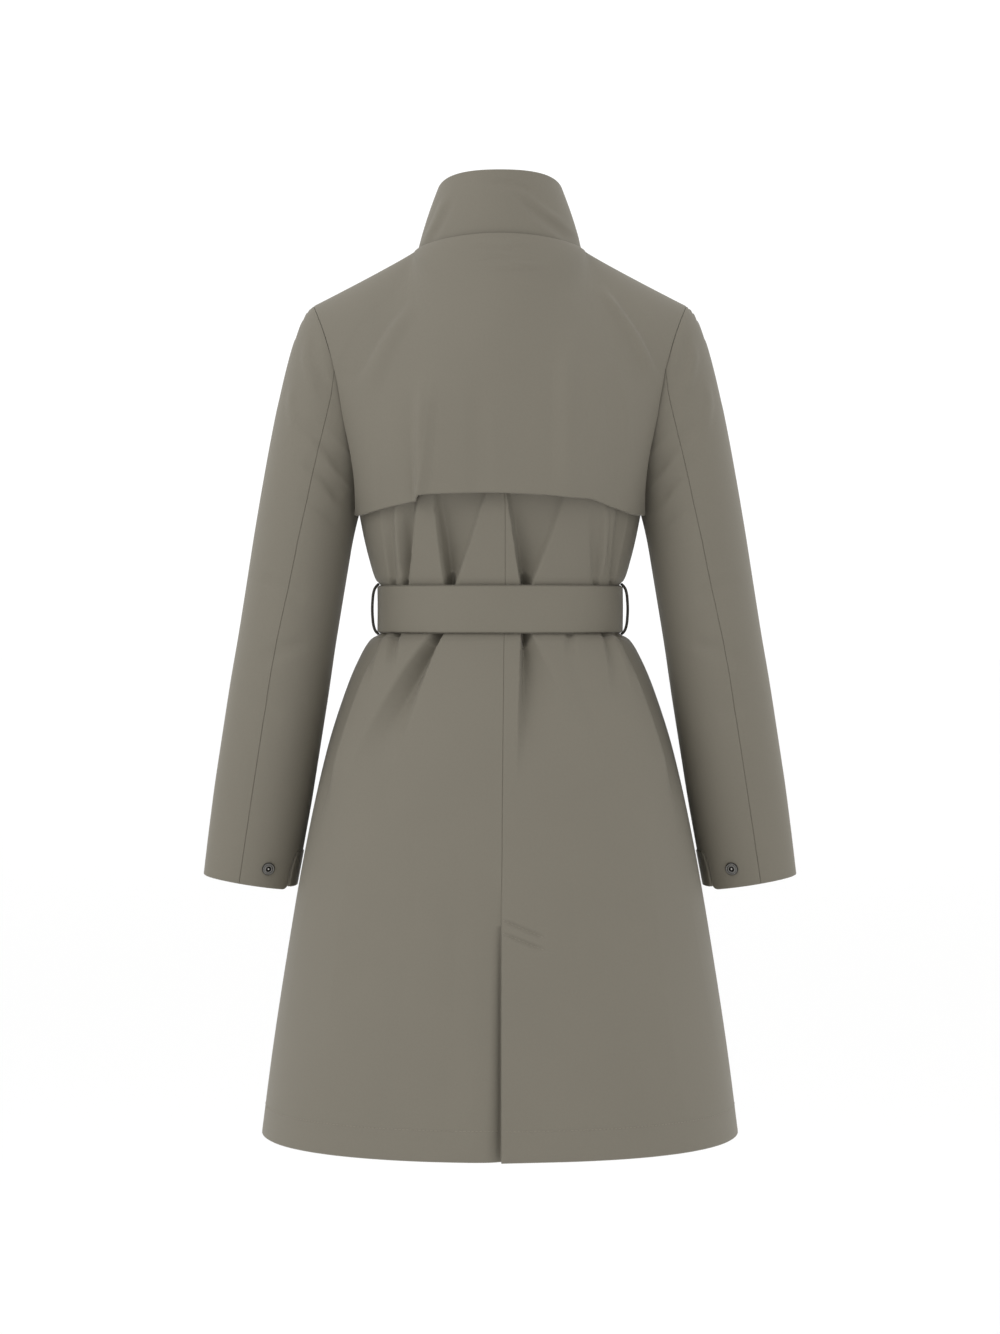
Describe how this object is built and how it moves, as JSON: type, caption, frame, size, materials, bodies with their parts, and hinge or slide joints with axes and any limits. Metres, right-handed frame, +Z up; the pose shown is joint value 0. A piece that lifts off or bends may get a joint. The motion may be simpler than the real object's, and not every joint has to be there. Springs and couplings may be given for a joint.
{
  "type": "reversible trench coat",
  "caption": "Knee-length belted trench coat in worn form, hollow, with funnel collar, storm flap, lapped back vent, set-in sleeves with snapped cuff tabs and a tied belt.",
  "frame": {"origin": "centre of the neck base at shoulder height, where the wearer's shoulders carry the coat", "axes": "+Z up out of the collar, +Y out of the coat's back, +X to the wearer's left"},
  "size_m": [0.5976, 0.35, 0.9521],
  "materials": {
    "coat_cloth": "smooth matte twill, grey-olive",
    "belt_cloth": "smooth matte twill, grey-olive",
    "snap_metal": "dark gunmetal, satin"
  },
  "bodies": {
    "root": {"back_left": "coat_cloth", "back_right": "coat_cloth", "front_left": "coat_cloth", "front_right": "coat_cloth", "storm_flap": "coat_cloth", "collar": "coat_cloth", "sleeve_top_left": "coat_cloth", "sleeve_top_right": "coat_cloth", "sleeve_under_left": "coat_cloth", "sleeve_under_right": "coat_cloth", "cuff_tab_left": "coat_cloth", "cuff_tab_right": "coat_cloth", "belt_loop_left": "coat_cloth", "belt_loop_right": "coat_cloth", "belt": "belt_cloth", "belt_knot": "belt_cloth", "belt_tail_left": "belt_cloth", "belt_tail_right": "belt_cloth", "cuff_snap_left": "snap_metal", "cuff_snap_right": "snap_metal", "tab_snap_left": "snap_metal", "tab_snap_right": "snap_metal"}
  },
  "joints": []
}
